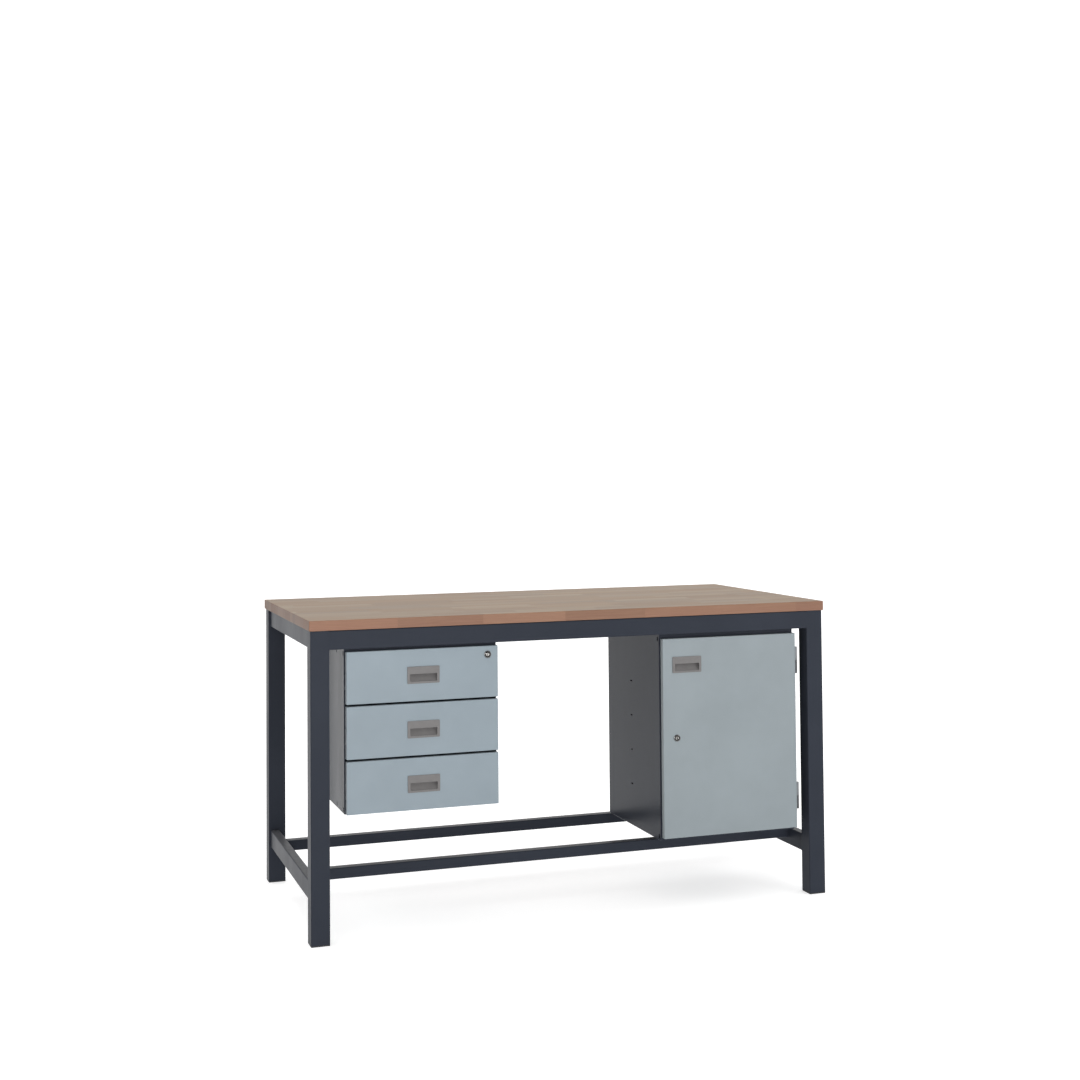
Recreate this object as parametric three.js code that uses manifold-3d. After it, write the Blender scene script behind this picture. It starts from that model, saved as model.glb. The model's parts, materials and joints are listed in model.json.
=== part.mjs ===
// Workbench: a welded steel frame with a solid beech worktop, a unit of three drawers hung under
// its left side and a cupboard with one door hung under its right side.
//
// Millimetres. +X is the right-hand side of a person standing in front of the bench, +Y points to
// its back and +Z up. The origin is on the floor, under the middle of the worktop.

import * as THREE from "three";
import { mergeVertices } from "three/addons/utils/BufferGeometryUtils.js";
import Module from "manifold-3d";

const wasm = await Module();
wasm.setup();

// ---------------------------------------------------------------------------
// Driving dimensions
// ---------------------------------------------------------------------------

const GAP = 0.3; // clearance between pieces that touch

// Whole bench
const BENCH_LENGTH = 1500;
const BENCH_DEPTH = 750;
const BENCH_HEIGHT = 840;

// Worktop
const TOP_THICKNESS = 27;
const TOP_EDGE_CHAMFER = 1.5;
const TOP_END_OVERHANG = 4;
const TOP_FRONT_OVERHANG = 3;

// Frame of square and rectangular tube
const LEG_SIZE = 50;
const RAIL_HEIGHT = 50;
const END_RAIL_WIDTH = 25;
const END_RAIL_INSET = 6; // from the legs' outer faces
const LOW_RAIL_TOP = 155; // height of the lower end rails' top faces
const STRETCHER_SIZE = 30;
const STRETCHER_OFFSET = 184; // from the middle of the bench to each stretcher's centre line
const HANGER_SIZE = 30; // cross tubes that carry the two units
const TUBE_WALL = 2;
const TUBE_CORNER = 3;
const CORNER_SEGMENTS = 3;

// Plastic feet
const FOOT_FLANGE = 3;
const FOOT_PLUG_LENGTH = 25;
const FOOT_PLUG_WALL = 2.5;

// Hanging units
const UNIT_SETBACK = 8; // from the legs' front faces to the drawer fronts and the door
const CARCASS_START = 20; // from the drawer fronts' outer faces to the carcasses' front edges
const CARCASS_DEPTH = 400;
const UNIT_WIDTH = 418;
const FRONT_INSET = 3; // the drawer fronts and the door stop this short of the carcass on the left
const SHEET = 1.2; // folded sheet steel
const HEAD_RETURN = 16; // folded edge along the top of a carcass mouth
const FOOT_RETURN = 8; // folded edge along the bottom of a carcass mouth
const SIDE_SLOT = { width: 8, height: 12, fromTop: 14.5, fromBottom: 11.5 }; // through the carcass sides
const PANEL_THICKNESS = 15; // folded pans of the drawer fronts and the door

// Drawer unit
const DRAWER_UNIT_CENTRE = -444;
const DRAWER_UNIT_BOTTOM = 328;
const DRAWER_NAMES = ["bottom", "middle", "top"];
const DRAWER_FRONT_HEIGHT = 138;
const DRAWER_FRONT_GAP = 5.5;
const DRAWER_BOX_WIDTH = 388;
const DRAWER_BOX_DEPTH = 375;
const DRAWER_BOX_HEIGHT = 92;
const DRAWER_BOX_LIFT = 8; // from a front's lower edge to the box's underside
const SIDE_SLOT_SETBACKS = [5, 90]; // from the carcass's front edge to each pair of slots

// Drawer runners: two nested channels on each side
const RUNNER_LENGTH = 360;
const RUNNER_WALL = 1.2;
const RUNNER_OUTER_HEIGHT = 36;
const RUNNER_OUTER_WIDTH = 9;
const RUNNER_INNER_HEIGHT = 28;
const RUNNER_INNER_WIDTH = 11.2;

// Cupboard
const CUPBOARD_CENTRE = 453.5;
const CUPBOARD_BOTTOM = 184.5;
const SIDE_RETURN = 20; // folded edge down each side of the cupboard's mouth
const DOOR_BOTTOM = 192.8;
const DOOR_HEIGHT = 556.8;
const SHELF_SLOT = { length: 14, height: 4, setback: 212 }; // from the carcass's front edge to its middle
const SHELF_SLOT_HEIGHTS = [306, 406, 506, 606];
const SHELF_SLOT_USED = 406;
const SHELF_EDGE = 20;
const BEARER_LENGTH = 300;
const BEARER_SIZE = 20;
const BEARER_WALL = 2;

// Recessed finger pulls
const PULL_WIDTH = 88;
const PULL_HEIGHT = 45;
const PULL_RIM = 1.6; // how far the rim stands proud of the front
const PULL_CUP_WIDTH = 79;
const PULL_CUP_HEIGHT = 37;
const PULL_CUP_DEPTH = 14;
const PULL_CUP_WALL = 1.5;
const PULL_WINDOW = { width: 74, bottom: -17, top: 3 };
const DOOR_PULL_FROM_EDGE = 73.5; // from the door's free edge to the pull's centre
const DOOR_PULL_FROM_TOP = 74;

// Cam locks
const LOCK_SEGMENTS = 24;
const LOCK_BEZEL = { radius: 10, height: 2 };
const LOCK_BARREL_RADIUS = 8;
const LOCK_BARREL_LENGTH = 23;
const LOCK_PLUG_RADIUS = 5.5;
const LOCK_TAIL = { radius: 3.7, length: 3.6 };
const LOCK_CAM = { length: 28, width: 12, thickness: 2 };
const LOCK_KEYWAY = { width: 1.4, height: 6.4, depth: 8 };
const DRAWER_LOCK_FROM_EDGE = 29;
const DRAWER_LOCK_FROM_TOP = 23.5;
const DOOR_LOCK_FROM_EDGE = 41.5;

// Lift-off hinges with welded barrels
const HINGE_LENGTH = 76;
const HINGE_BARREL_RADIUS = 4.5;
const HINGE_PIN_RADIUS = 2;
const HINGE_PIN_CLEARANCE = 0.3;
const HINGE_SETBACK = 8; // from the door's outer face to the pin
const HINGE_LEAF = 2;
const HINGE_STRAP_LENGTH = 46;
const HINGE_CENTRES = { lower: 283, upper: 671.5 };
const HINGE_SEGMENTS = 16;

// ---------------------------------------------------------------------------
// Worked-out places
// ---------------------------------------------------------------------------

const FRAME_TOP = BENCH_HEIGHT - TOP_THICKNESS - GAP;
const RAIL_BOTTOM = FRAME_TOP - RAIL_HEIGHT;
const UNIT_TOP = RAIL_BOTTOM - GAP;
const LEG_OUTER_X = BENCH_LENGTH / 2 - TOP_END_OVERHANG;
const LEG_OUTER_Y = BENCH_DEPTH / 2 - TOP_FRONT_OVERHANG;
const LEG_INNER_X = LEG_OUTER_X - LEG_SIZE;
const LEG_INNER_Y = LEG_OUTER_Y - LEG_SIZE;
const END_RAIL_X = LEG_OUTER_X - END_RAIL_INSET - END_RAIL_WIDTH / 2;
const END_RAIL_INNER_X = END_RAIL_X - END_RAIL_WIDTH / 2;
const FRONT_FACE_Y = -LEG_OUTER_Y + UNIT_SETBACK;
const DRAWER_PITCH = DRAWER_FRONT_HEIGHT + DRAWER_FRONT_GAP;
const FRONT_WIDTH = UNIT_WIDTH - FRONT_INSET;
const FRONT_CENTRE = FRONT_INSET / 2; // from the middle of a unit

// ---------------------------------------------------------------------------
// Materials
// ---------------------------------------------------------------------------

const FRAME_PAINT = { color: 0x3b3f48, roughness: 0.42, metalness: 0.0 };
const CARCASS_PAINT = { color: 0x44464d, roughness: 0.4, metalness: 0.0 };
const FRONT_PAINT = { color: 0x9caab0, roughness: 0.45, metalness: 0.0 };
const BEECH = { color: 0xa48a72, roughness: 0.55, metalness: 0.0 };
const PULL_PLASTIC = { color: 0x8a8583, roughness: 0.5, metalness: 0.0 };
const FOOT_PLASTIC = { color: 0x1d1e20, roughness: 0.6, metalness: 0.0 };
const ZINC_STEEL = { color: 0xa9abad, roughness: 0.35, metalness: 1.0 };
const CHROME = { color: 0xc9cbcd, roughness: 0.15, metalness: 1.0 };

// ---------------------------------------------------------------------------
// Solids: shapes come from three.js and manifold-3d joins and cuts them
// ---------------------------------------------------------------------------

function toSolid(geometry) {
  const bare = new THREE.BufferGeometry().setAttribute("position", geometry.getAttribute("position"));
  bare.setIndex(geometry.getIndex());
  const merged = mergeVertices(bare, 1e-4);
  return new wasm.Manifold(
    new wasm.Mesh({
      numProp: 3,
      vertProperties: new Float32Array(merged.attributes.position.array),
      triVerts: new Uint32Array(merged.index.array),
    }),
  );
}

function toGeometry(solid) {
  const made = solid.getMesh();
  const geometry = new THREE.BufferGeometry();
  geometry.setAttribute("position", new THREE.BufferAttribute(made.vertProperties, 3));
  geometry.setIndex(new THREE.BufferAttribute(made.triVerts, 1));
  geometry.computeVertexNormals();
  return geometry;
}

function join(...geometries) {
  return toGeometry(geometries.map(toSolid).reduce((sum, next) => sum.add(next)));
}

function cut(base, ...tools) {
  return toGeometry(tools.map(toSolid).reduce((rest, tool) => rest.subtract(tool), toSolid(base)));
}

// A box from its lowest corner to its highest corner.
function block([x0, y0, z0], [x1, y1, z1]) {
  const box = new THREE.BoxGeometry(x1 - x0, y1 - y0, z1 - z0);
  return box.translate((x0 + x1) / 2, (y0 + y1) / 2, (z0 + z1) / 2);
}

// A round bar along Y.
function barAlongY(radius, y0, y1, x = 0, z = 0, segments = LOCK_SEGMENTS) {
  return new THREE.CylinderGeometry(radius, radius, y1 - y0, segments).translate(x, (y0 + y1) / 2, z);
}

// A round bar along Z.
function barAlongZ(radius, z0, z1, x = 0, y = 0) {
  const bar = new THREE.CylinderGeometry(radius, radius, z1 - z0, HINGE_SEGMENTS).rotateX(Math.PI / 2);
  return bar.translate(x, y, (z0 + z1) / 2);
}

function roundedRectangle(Outline, width, height, corner) {
  const x = width / 2 - corner;
  const y = height / 2 - corner;
  const quarter = Math.PI / 2;
  const outline = new Outline();
  outline.absarc(x, y, corner, 0, quarter, false);
  outline.absarc(-x, y, corner, quarter, 2 * quarter, false);
  outline.absarc(-x, -y, corner, 2 * quarter, 3 * quarter, false);
  outline.absarc(x, -y, corner, 3 * quarter, 4 * quarter, false);
  outline.closePath();
  return outline;
}

function extrude(shape, depth) {
  return new THREE.ExtrudeGeometry(shape, { depth, bevelEnabled: false, curveSegments: CORNER_SEGMENTS });
}

// A rectangular tube with rounded corners and open ends, standing on z = 0.
function tube(width, height, length) {
  const section = roundedRectangle(THREE.Shape, width, height, TUBE_CORNER);
  const bore = roundedRectangle(
    THREE.Path,
    width - 2 * TUBE_WALL,
    height - 2 * TUBE_WALL,
    TUBE_CORNER - TUBE_WALL,
  );
  section.holes.push(bore);
  return extrude(section, length);
}

// The same tube lying along X or Y, centred on its length; height is its upright side.
function tubeAlongX(width, height, length) {
  return tube(height, width, length).translate(0, 0, -length / 2).rotateY(Math.PI / 2);
}

function tubeAlongY(width, height, length) {
  return tube(width, height, length).translate(0, 0, -length / 2).rotateX(Math.PI / 2);
}

// A channel along Y: its web lies on x = 0 and its open side faces +X. It starts at y = 0.
function channel(width, height, wall, length) {
  const outline = new THREE.Shape([
    new THREE.Vector2(0, -height / 2),
    new THREE.Vector2(width, -height / 2),
    new THREE.Vector2(width, -height / 2 + wall),
    new THREE.Vector2(wall, -height / 2 + wall),
    new THREE.Vector2(wall, height / 2 - wall),
    new THREE.Vector2(width, height / 2 - wall),
    new THREE.Vector2(width, height / 2),
    new THREE.Vector2(0, height / 2),
  ]);
  return extrude(outline, length).translate(0, 0, -length).rotateX(Math.PI / 2);
}

function piece(name, geometry, look) {
  const mesh = new THREE.Mesh(geometry, new THREE.MeshStandardMaterial(look));
  mesh.name = name;
  return mesh;
}

function place(object, x, y, z) {
  object.position.set(x, y, z);
  return object;
}

const SIDES = [
  { name: "left", sign: -1 },
  { name: "right", sign: 1 },
];
const ENDS = [
  { name: "front", sign: -1 },
  { name: "rear", sign: 1 },
];

// ---------------------------------------------------------------------------
// Frame and worktop
// ---------------------------------------------------------------------------

// A flange under the leg with a hollow plug that fills the end of the tube.
function footShape() {
  const plugSize = LEG_SIZE - 2 * TUBE_WALL - 2 * GAP;
  const hollow = plugSize / 2 - FOOT_PLUG_WALL;
  const plugTop = FOOT_FLANGE + FOOT_PLUG_LENGTH;
  const flange = extrude(roundedRectangle(THREE.Shape, LEG_SIZE, LEG_SIZE, TUBE_CORNER), FOOT_FLANGE);
  const plug = block([-plugSize / 2, -plugSize / 2, 0], [plugSize / 2, plugSize / 2, plugTop]);
  const inside = block([-hollow, -hollow, FOOT_FLANGE], [hollow, hollow, plugTop + 1]);
  return cut(join(flange, plug), inside);
}

function makeCorner(end, side) {
  const corner = new THREE.Group();
  const legBottom = FOOT_FLANGE + GAP;
  const leg = piece(`leg_${end.name}_${side.name}`, tube(LEG_SIZE, LEG_SIZE, FRAME_TOP - legBottom), FRAME_PAINT);
  corner.add(place(leg, 0, 0, legBottom));
  corner.add(piece(`foot_${end.name}_${side.name}`, footShape(), FOOT_PLASTIC));
  return place(corner, side.sign * (LEG_OUTER_X - LEG_SIZE / 2), end.sign * (LEG_OUTER_Y - LEG_SIZE / 2), 0);
}

function makeFrame() {
  const frame = new THREE.Group();
  const railZ = FRAME_TOP - RAIL_HEIGHT / 2;
  const longRail = 2 * (LEG_INNER_X - GAP);
  const endRail = 2 * (LEG_INNER_Y - GAP);
  const stretcher = 2 * (END_RAIL_INNER_X - GAP);

  for (const end of ENDS) {
    for (const side of SIDES) {
      frame.add(makeCorner(end, side));
    }
    const rail = piece(`top_rail_${end.name}`, tubeAlongX(LEG_SIZE, RAIL_HEIGHT, longRail), FRAME_PAINT);
    frame.add(place(rail, 0, end.sign * (LEG_OUTER_Y - LEG_SIZE / 2), railZ));
    const low = piece(`stretcher_${end.name}`, tubeAlongX(STRETCHER_SIZE, STRETCHER_SIZE, stretcher), FRAME_PAINT);
    frame.add(place(low, 0, end.sign * STRETCHER_OFFSET, LOW_RAIL_TOP - STRETCHER_SIZE / 2));
  }
  for (const side of SIDES) {
    const top = piece(`top_rail_${side.name}`, tubeAlongY(END_RAIL_WIDTH, RAIL_HEIGHT, endRail), FRAME_PAINT);
    frame.add(place(top, side.sign * END_RAIL_X, 0, railZ));
    const low = piece(`low_rail_${side.name}`, tubeAlongY(END_RAIL_WIDTH, RAIL_HEIGHT, endRail), FRAME_PAINT);
    frame.add(place(low, side.sign * END_RAIL_X, 0, LOW_RAIL_TOP - RAIL_HEIGHT / 2));
  }
  return frame;
}

// Two cross tubes over each unit, between the long top rails, with the unit's top against them.
function makeHangers(unitName, centreX) {
  const hangers = new THREE.Group();
  for (const side of SIDES) {
    const length = 2 * (LEG_INNER_Y - GAP);
    const bar = piece(`hanger_${unitName}_${side.name}`, tubeAlongY(HANGER_SIZE, HANGER_SIZE, length), FRAME_PAINT);
    const x = centreX + side.sign * (UNIT_WIDTH / 2 - 1.5 * HANGER_SIZE);
    hangers.add(place(bar, x, 0, RAIL_BOTTOM + HANGER_SIZE / 2));
  }
  return hangers;
}

// A slab with its arrises taken off all round, top and bottom.
function makeWorktop() {
  const outline = new THREE.Shape();
  const x = BENCH_LENGTH / 2 - TOP_EDGE_CHAMFER;
  const y = BENCH_DEPTH / 2 - TOP_EDGE_CHAMFER;
  outline.moveTo(-x, -y).lineTo(x, -y).lineTo(x, y).lineTo(-x, y).closePath();
  const slab = new THREE.ExtrudeGeometry(outline, {
    depth: TOP_THICKNESS - 2 * TOP_EDGE_CHAMFER,
    bevelThickness: TOP_EDGE_CHAMFER,
    bevelSize: TOP_EDGE_CHAMFER,
    bevelSegments: 1,
  });
  return place(piece("worktop", slab, BEECH), 0, 0, BENCH_HEIGHT - TOP_THICKNESS + TOP_EDGE_CHAMFER);
}

// ---------------------------------------------------------------------------
// Fittings shared by the drawers and the door. Their y = 0 is the front's outer face and their
// x and z are measured from their own centre.
// ---------------------------------------------------------------------------

// A rimmed cup let into the front. Its upper part is closed by a flap, and the fingers reach in
// through the window below and up behind the flap.
function pullShape() {
  const halfCup = PULL_CUP_WIDTH / 2;
  const halfCupHeight = PULL_CUP_HEIGHT / 2;
  const rim = block(
    [-PULL_WIDTH / 2, -PULL_RIM - GAP, -PULL_HEIGHT / 2],
    [PULL_WIDTH / 2, -GAP, PULL_HEIGHT / 2],
  );
  const cup = block([-halfCup, -PULL_RIM, -halfCupHeight], [halfCup, PULL_CUP_DEPTH, halfCupHeight]);
  const cavity = block(
    [-halfCup + PULL_CUP_WALL, PULL_CUP_WALL, -halfCupHeight + PULL_CUP_WALL],
    [halfCup - PULL_CUP_WALL, PULL_CUP_DEPTH - PULL_CUP_WALL, halfCupHeight - PULL_CUP_WALL],
  );
  const window = block(
    [-PULL_WINDOW.width / 2, -PULL_RIM - 1, PULL_WINDOW.bottom],
    [PULL_WINDOW.width / 2, PULL_CUP_WALL + 1, PULL_WINDOW.top],
  );
  return cut(join(rim, cup), cavity, window);
}

// The opening in a front that takes the pull's cup.
function pullCutout(x, z) {
  const halfWidth = PULL_CUP_WIDTH / 2 + GAP;
  const halfHeight = PULL_CUP_HEIGHT / 2 + GAP;
  return block([x - halfWidth, -1, z - halfHeight], [x + halfWidth, SHEET + 1, z + halfHeight]);
}

function lockCutout(x, z) {
  return barAlongY(LOCK_BARREL_RADIUS + GAP, -1, SHEET + 1, x, z);
}

function lockBarrelShape() {
  const bezel = barAlongY(LOCK_BEZEL.radius, -LOCK_BEZEL.height - GAP, -GAP);
  const barrel = barAlongY(LOCK_BARREL_RADIUS, -LOCK_BEZEL.height, LOCK_BARREL_LENGTH);
  const bore = barAlongY(LOCK_PLUG_RADIUS + GAP, -LOCK_BEZEL.height - 1, LOCK_BARREL_LENGTH + 1);
  return cut(join(bezel, barrel), bore);
}

function lockPlugShape() {
  const front = -LOCK_BEZEL.height;
  const shoulder = LOCK_BARREL_LENGTH + GAP;
  const plug = barAlongY(LOCK_PLUG_RADIUS, front, shoulder);
  const tail = barAlongY(LOCK_TAIL.radius, shoulder - 1, shoulder + LOCK_TAIL.length);
  const keyway = block(
    [-LOCK_KEYWAY.width / 2, front - 1, -LOCK_KEYWAY.height / 2],
    [LOCK_KEYWAY.width / 2, front + LOCK_KEYWAY.depth, LOCK_KEYWAY.height / 2],
  );
  return cut(join(plug, tail), keyway);
}

// A flat cam on the plug's tail, pointing along -X, with a round end.
function lockCamShape() {
  const half = LOCK_CAM.width / 2;
  const reach = LOCK_CAM.length - half;
  const outline = new THREE.Shape();
  outline.absarc(0, 0, half, -Math.PI / 2, Math.PI / 2, false);
  outline.absarc(-reach, 0, half, Math.PI / 2, 1.5 * Math.PI, false);
  outline.closePath();
  const plate = extrude(outline, LOCK_CAM.thickness).translate(0, 0, -LOCK_CAM.thickness).rotateX(Math.PI / 2);
  const start = LOCK_BARREL_LENGTH + 2 * GAP;
  const hole = barAlongY(LOCK_TAIL.radius + GAP, start - 1, start + LOCK_CAM.thickness + 1);
  return cut(plate.translate(0, start, 0), hole);
}

// camTurn turns the cam about Y from pointing to -X.
function makeLock(name, camTurn) {
  const lock = new THREE.Group();
  lock.add(piece(`${name}_barrel`, lockBarrelShape(), CHROME));
  lock.add(piece(`${name}_plug`, lockPlugShape(), CHROME));
  const cam = piece(`${name}_cam`, lockCamShape(), ZINC_STEEL);
  cam.rotation.y = camTurn;
  lock.add(cam);
  return lock;
}

// A pan of folded sheet, open at the back, centred on x = 0 and standing on z = 0.
function panShape(height, ...cutouts) {
  const half = FRONT_WIDTH / 2;
  const outer = block([-half, 0, 0], [half, PANEL_THICKNESS, height]);
  const inner = block([-half + SHEET, SHEET, SHEET], [half - SHEET, PANEL_THICKNESS + 1, height - SHEET]);
  return cut(outer, inner, ...cutouts);
}

// Upright slots through both sides of a carcass, near its top and its bottom.
function sideSlots(height, setback) {
  const start = CARCASS_START + setback;
  return [SIDE_SLOT.fromBottom, height - SIDE_SLOT.fromTop].map((z) =>
    block(
      [-UNIT_WIDTH, start, z - SIDE_SLOT.height / 2],
      [UNIT_WIDTH, start + SIDE_SLOT.width, z + SIDE_SLOT.height / 2],
    ),
  );
}

// A carcass of folded sheet, open at the front, with returns round its mouth.
function carcassShape(height, sideReturn, ...cutouts) {
  const back = CARCASS_START + CARCASS_DEPTH;
  const inside = UNIT_WIDTH / 2 - SHEET;
  const mouth = UNIT_WIDTH / 2 - sideReturn;
  const outer = block([-UNIT_WIDTH / 2, CARCASS_START, 0], [UNIT_WIDTH / 2, back, height]);
  const inner = block([-inside, CARCASS_START + SHEET, SHEET], [inside, back - SHEET, height - SHEET]);
  const opening = block(
    [-mouth, CARCASS_START - 1, FOOT_RETURN],
    [mouth, CARCASS_START + SHEET + 1, height - HEAD_RETURN],
  );
  return cut(outer, inner, opening, ...cutouts);
}

// ---------------------------------------------------------------------------
// Drawer unit: its y = 0 is the drawer fronts' outer face, its z = 0 the carcass's underside
// ---------------------------------------------------------------------------

// An open tray of folded sheet behind the drawer front.
function drawerBoxShape() {
  const half = DRAWER_BOX_WIDTH / 2;
  const start = PANEL_THICKNESS + GAP;
  const end = start + DRAWER_BOX_DEPTH;
  const outer = block([-half, start, 0], [half, end, DRAWER_BOX_HEIGHT]);
  const inner = block([-half + SHEET, start + SHEET, SHEET], [half - SHEET, end - SHEET, DRAWER_BOX_HEIGHT + 1]);
  return cut(outer, inner);
}

function makeDrawer(name) {
  const drawer = new THREE.Group();
  const isTop = name === "top";
  const lockX = FRONT_WIDTH / 2 - DRAWER_LOCK_FROM_EDGE;
  const lockZ = DRAWER_FRONT_HEIGHT - DRAWER_LOCK_FROM_TOP;
  const pullZ = DRAWER_FRONT_HEIGHT / 2;
  const cutouts = [pullCutout(0, pullZ)];
  if (isTop) {
    cutouts.push(lockCutout(lockX, lockZ));
    drawer.add(place(makeLock("drawer_lock", 0), lockX, 0, lockZ));
  }
  drawer.add(piece(`drawer_${name}_front`, panShape(DRAWER_FRONT_HEIGHT, ...cutouts), FRONT_PAINT));
  drawer.add(place(piece(`drawer_${name}_pull`, pullShape(), PULL_PLASTIC), 0, 0, pullZ));
  const box = piece(`drawer_${name}_box`, drawerBoxShape(), CARCASS_PAINT);
  drawer.add(place(box, -FRONT_CENTRE, 0, DRAWER_BOX_LIFT));
  return drawer;
}

// The channel on the drawer opens outwards and slides inside the channel on the carcass.
function makeRunners(name) {
  const runners = new THREE.Group();
  const inner = channel(RUNNER_INNER_WIDTH, RUNNER_INNER_HEIGHT, RUNNER_WALL, RUNNER_LENGTH);
  const outer = channel(RUNNER_OUTER_WIDTH, RUNNER_OUTER_HEIGHT, RUNNER_WALL, RUNNER_LENGTH);
  const start = CARCASS_START + 2 * SHEET;
  for (const side of SIDES) {
    const onDrawer = piece(`drawer_${name}_runner_${side.name}`, inner, ZINC_STEEL);
    onDrawer.rotation.y = side.sign > 0 ? 0 : Math.PI;
    runners.add(place(onDrawer, side.sign * (DRAWER_BOX_WIDTH / 2 + GAP), start, 0));
    const onCarcass = piece(`carcass_${name}_runner_${side.name}`, outer, ZINC_STEEL);
    onCarcass.rotation.y = side.sign > 0 ? Math.PI : 0;
    runners.add(place(onCarcass, side.sign * (UNIT_WIDTH / 2 - SHEET - GAP), start, 0));
  }
  return runners;
}

function makeDrawerUnit() {
  const unit = new THREE.Group();
  const height = UNIT_TOP - DRAWER_UNIT_BOTTOM;
  const slots = SIDE_SLOT_SETBACKS.flatMap((setback) => sideSlots(height, setback));
  unit.add(piece("drawer_carcass", carcassShape(height, SHEET, ...slots), CARCASS_PAINT));
  DRAWER_NAMES.forEach((name, level) => {
    const z = SHEET + level * DRAWER_PITCH;
    unit.add(place(makeDrawer(name), FRONT_CENTRE, 0, z));
    unit.add(place(makeRunners(name), 0, 0, z + DRAWER_BOX_LIFT + DRAWER_BOX_HEIGHT / 2));
  });
  return place(unit, DRAWER_UNIT_CENTRE, FRONT_FACE_Y, DRAWER_UNIT_BOTTOM);
}

// ---------------------------------------------------------------------------
// Cupboard: its y = 0 is the door's outer face, its z = 0 the floor
// ---------------------------------------------------------------------------

// A round-ended slot cutter along X, centred on the origin.
function shelfSlot(length) {
  const { length: slotLength, height } = SHELF_SLOT;
  const outline = roundedRectangle(THREE.Shape, slotLength, height, height / 2);
  return extrude(outline, length)
    .translate(0, 0, -length / 2)
    .rotateX(Math.PI / 2)
    .rotateZ(Math.PI / 2);
}

function cupboardCarcassShape() {
  const height = UNIT_TOP - CUPBOARD_BOTTOM;
  const y = CARCASS_START + SHELF_SLOT.setback;
  const shelfSlots = SHELF_SLOT_HEIGHTS.map((z) => shelfSlot(2 * UNIT_WIDTH).translate(0, y, z - CUPBOARD_BOTTOM));
  return carcassShape(height, SIDE_RETURN, ...shelfSlots, ...sideSlots(height, SIDE_SLOT_SETBACKS[0]));
}

// A flat sheet with its front and back edges folded down, resting on the two bearers.
function shelfShape() {
  const half = UNIT_WIDTH / 2 - SHEET - 2 * GAP;
  const front = CARCASS_START + SIDE_RETURN;
  const back = CARCASS_START + CARCASS_DEPTH - 4 * SHEET;
  const outer = block([-half, front, -SHELF_EDGE], [half, back, 0]);
  const under = block([-half - 1, front + SHEET, -SHELF_EDGE - 1], [half + 1, back - SHEET, -SHEET]);
  return cut(outer, under);
}

// An angle screwed to the carcass side through its one slot: web on x = 0, ledge towards +X, top on z = 0.
function bearerShape() {
  const half = BEARER_LENGTH / 2;
  const outer = block([0, -half, -BEARER_SIZE], [BEARER_SIZE, half, 0]);
  const corner = block([BEARER_WALL, -half - 1, -BEARER_SIZE - 1], [BEARER_SIZE + 1, half + 1, -BEARER_WALL]);
  const slot = shelfSlot(4 * BEARER_WALL).translate(0, 0, -BEARER_SIZE / 2 - BEARER_WALL / 2);
  return cut(outer, corner, slot);
}

function makeShelf() {
  const shelf = new THREE.Group();
  const bearerTop = SHELF_SLOT_USED + BEARER_SIZE / 2 + BEARER_WALL / 2;
  shelf.add(place(piece("cupboard_shelf", shelfShape(), CARCASS_PAINT), 0, 0, bearerTop + GAP + SHEET));
  for (const side of SIDES) {
    const bearer = piece(`shelf_bearer_${side.name}`, bearerShape(), ZINC_STEEL);
    bearer.rotation.z = side.sign > 0 ? Math.PI : 0;
    const x = side.sign * (UNIT_WIDTH / 2 - SHEET - GAP);
    shelf.add(place(bearer, x, CARCASS_START + SHELF_SLOT.setback, bearerTop));
  }
  return shelf;
}

// The half on the carcass: the lower barrel with the pin standing in it, and a strap to the side.
function hingeFrameHalf() {
  const face = -HINGE_BARREL_RADIUS;
  const strapStart = HINGE_BARREL_RADIUS / 2;
  const barrel = barAlongZ(HINGE_BARREL_RADIUS, -HINGE_LENGTH / 2, -GAP);
  const pin = barAlongZ(HINGE_PIN_RADIUS, -HINGE_LENGTH / 4, HINGE_LENGTH / 2 - 2 * HINGE_LEAF);
  const strap = block(
    [face, strapStart, -HINGE_LENGTH / 2],
    [face + HINGE_LEAF, strapStart + HINGE_STRAP_LENGTH, -GAP],
  );
  return join(barrel, pin, strap);
}

// The half on the door: the upper barrel, bored for the pin, and a leaf along the door's edge.
function hingeDoorHalf() {
  const face = -HINGE_BARREL_RADIUS;
  const leafReach = HINGE_SETBACK - HINGE_LEAF / 2;
  const barrel = barAlongZ(HINGE_BARREL_RADIUS, 0, HINGE_LENGTH / 2);
  const leaf = block([face, -leafReach, 0], [face + HINGE_LEAF, leafReach, HINGE_LENGTH / 2]);
  const bore = barAlongZ(HINGE_PIN_RADIUS + HINGE_PIN_CLEARANCE, -1, HINGE_LENGTH / 2 - HINGE_LEAF);
  return cut(join(barrel, leaf), bore);
}

function makeHinges() {
  const hinges = new THREE.Group();
  for (const [level, z] of Object.entries(HINGE_CENTRES)) {
    const hinge = new THREE.Group();
    hinge.add(piece(`hinge_${level}_frame_half`, hingeFrameHalf(), ZINC_STEEL));
    hinge.add(piece(`hinge_${level}_door_half`, hingeDoorHalf(), ZINC_STEEL));
    hinges.add(place(hinge, UNIT_WIDTH / 2 + HINGE_BARREL_RADIUS + GAP, HINGE_SETBACK, z));
  }
  return hinges;
}

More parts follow.
